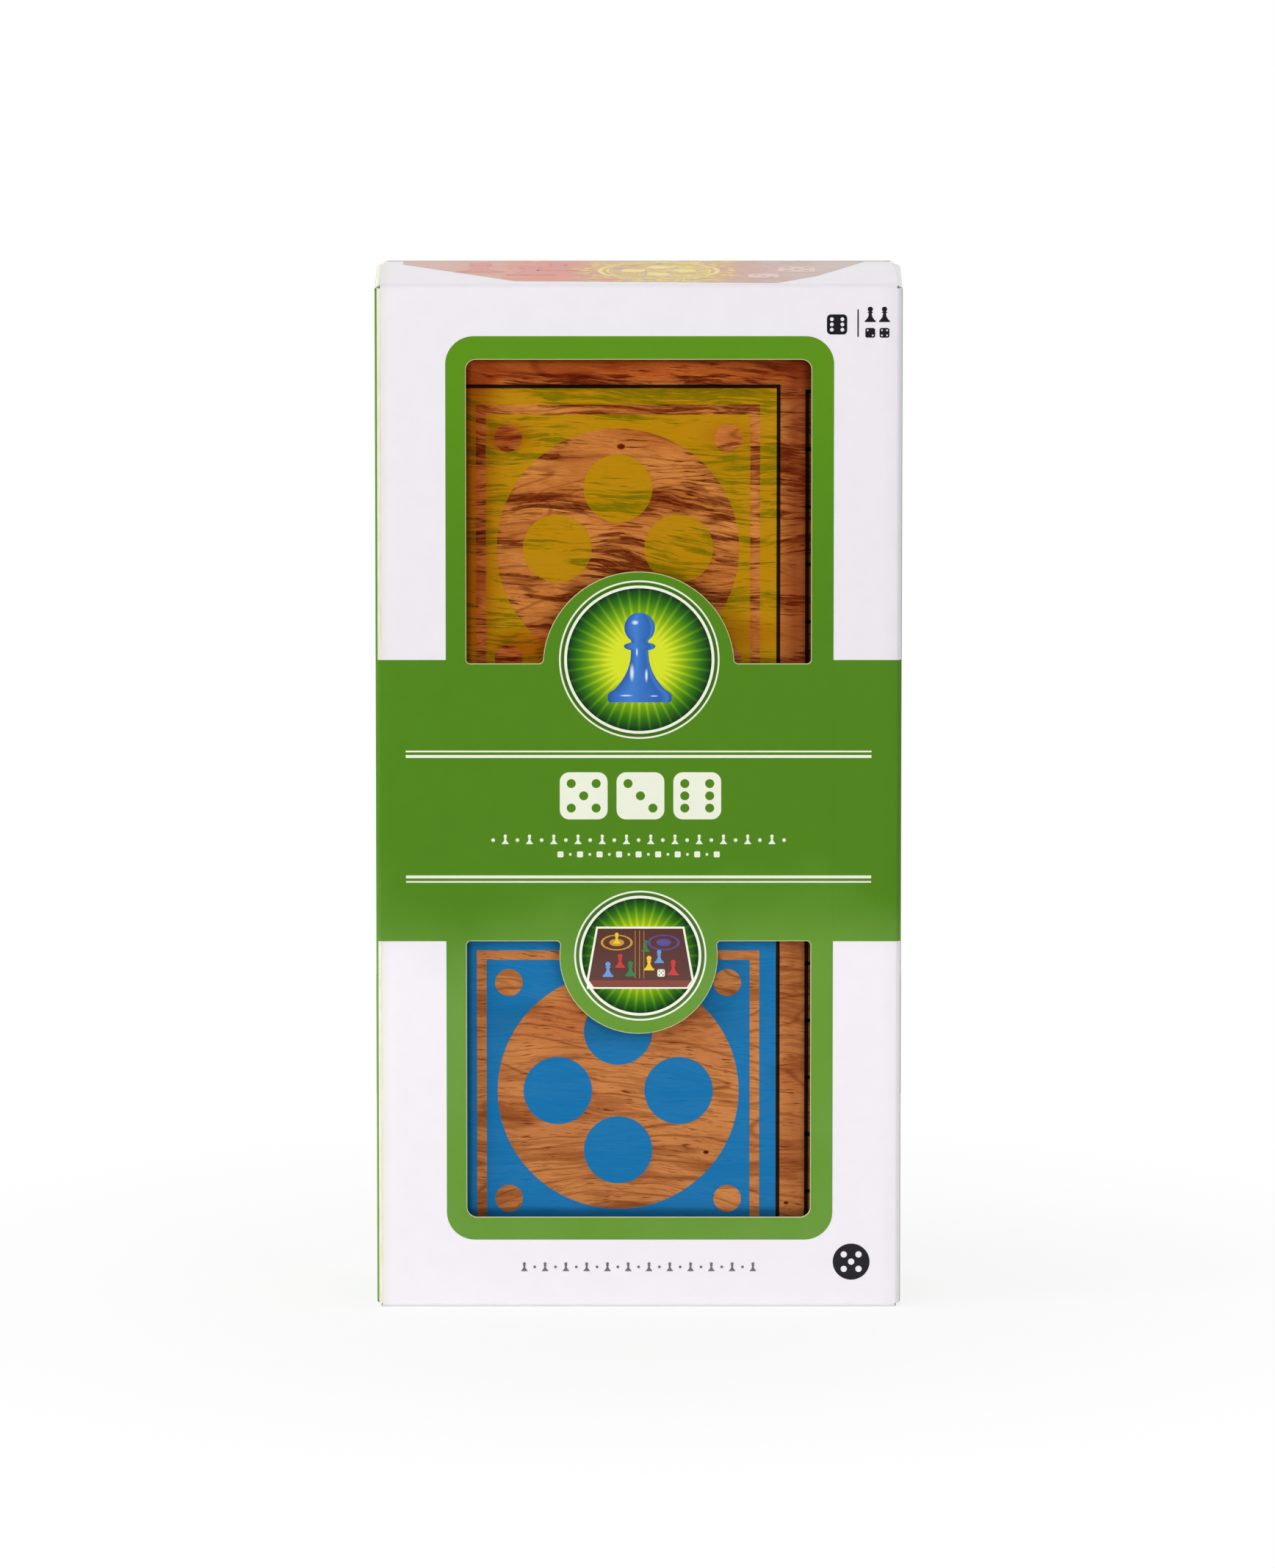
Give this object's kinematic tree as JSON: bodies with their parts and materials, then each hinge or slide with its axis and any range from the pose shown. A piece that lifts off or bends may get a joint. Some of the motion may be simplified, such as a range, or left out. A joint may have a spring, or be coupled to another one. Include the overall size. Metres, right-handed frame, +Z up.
{
  "type": "folding ludo board box",
  "caption": "Folding wooden ludo board shut as a hinged case with men and a die, in an upright windowed tuck-end carton.",
  "frame": {"origin": "middle of the carton's base", "axes": "+X to the right across the front, +Y from the front to the back, +Z up the carton's height"},
  "size_m": [0.156, 0.052, 0.308],
  "materials": {
    "printed_paperboard": "white coated folding board with a green print",
    "printed_plywood": "varnished thin plywood with a screen-printed board",
    "rail_wood": "satin varnish",
    "hinge_brass": "brass-plated, satin",
    "steel": "plain steel",
    "latch_brass": "brass-plated, satin",
    "red_plastic": "gloss",
    "yellow_plastic": "gloss",
    "green_plastic": "gloss",
    "blue_plastic": "gloss",
    "white_plastic": "gloss, pips painted dark"
  },
  "bodies": {
    "carton_and_case": {"carton_front": "printed_paperboard", "carton_back": "printed_paperboard", "carton_left": "printed_paperboard", "carton_right": "printed_paperboard", "front_board": "printed_plywood", "rear_board": "printed_plywood", "front_rail_left": "rail_wood", "front_rail_right": "rail_wood", "front_rail_bottom": "rail_wood", "front_rail_top": "rail_wood", "rear_rail_left": "rail_wood", "rear_rail_right": "rail_wood", "rear_rail_bottom": "rail_wood", "rear_rail_top": "rail_wood", "hinge_leaves_front": "hinge_brass", "hinge_leaves_rear": "hinge_brass", "hinge_pins": "steel", "hinge_screws": "steel", "latch_pivot": "latch_brass", "latch_stud": "latch_brass", "men_red": "red_plastic", "men_yellow": "yellow_plastic", "men_green": "green_plastic", "men_blue": "blue_plastic", "die": "white_plastic"},
    "top_lid": {"top_lid": "printed_paperboard"},
    "bottom_lid": {"bottom_lid": "printed_paperboard"},
    "top_flap_left": {"top_flap_left": "printed_paperboard"},
    "top_flap_right": {"top_flap_right": "printed_paperboard"},
    "bottom_flap_left": {"bottom_flap_left": "printed_paperboard"},
    "bottom_flap_right": {"bottom_flap_right": "printed_paperboard"},
    "latch_hook": {"latch_hook": "latch_brass"}
  },
  "joints": [
    {"name": "top_lid_fold", "type": "hinge", "parent": "carton_and_case", "child": "top_lid", "pos_m": [0, -0.02572, 0.30772], "axis": [1, 0, 0], "range_deg": [0, 190]},
    {"name": "top_flap_left_fold", "type": "hinge", "parent": "carton_and_case", "child": "top_flap_left", "pos_m": [-0.07772, 0, 0.30697], "axis": [0, -1, 0], "range_deg": [0, 95]},
    {"name": "top_flap_right_fold", "type": "hinge", "parent": "carton_and_case", "child": "top_flap_right", "pos_m": [0.07772, 0, 0.30697], "axis": [0, 1, 0], "range_deg": [0, 95]},
    {"name": "bottom_lid_fold", "type": "hinge", "parent": "carton_and_case", "child": "bottom_lid", "pos_m": [0, -0.02572, 0.00028], "axis": [-1, 0, 0], "range_deg": [0, 190]},
    {"name": "bottom_flap_left_fold", "type": "hinge", "parent": "carton_and_case", "child": "bottom_flap_left", "pos_m": [-0.07772, 0, 0.00103], "axis": [0, 1, 0], "range_deg": [0, 95]},
    {"name": "bottom_flap_right_fold", "type": "hinge", "parent": "carton_and_case", "child": "bottom_flap_right", "pos_m": [0.07772, 0, 0.00103], "axis": [0, -1, 0], "range_deg": [0, 95]},
    {"name": "latch_turn", "type": "hinge", "parent": "carton_and_case", "child": "latch_hook", "pos_m": [-0.07115, 0.011, 0.1515], "axis": [-1, 0, 0], "range_deg": [0, 100]}
  ],
  "couplings": [
    {"joint": "top_flap_left_fold", "follows": "top_lid_fold", "ratio": 0.5},
    {"joint": "top_flap_right_fold", "follows": "top_lid_fold", "ratio": 0.5},
    {"joint": "bottom_flap_left_fold", "follows": "bottom_lid_fold", "ratio": 0.5},
    {"joint": "bottom_flap_right_fold", "follows": "bottom_lid_fold", "ratio": 0.5}
  ]
}
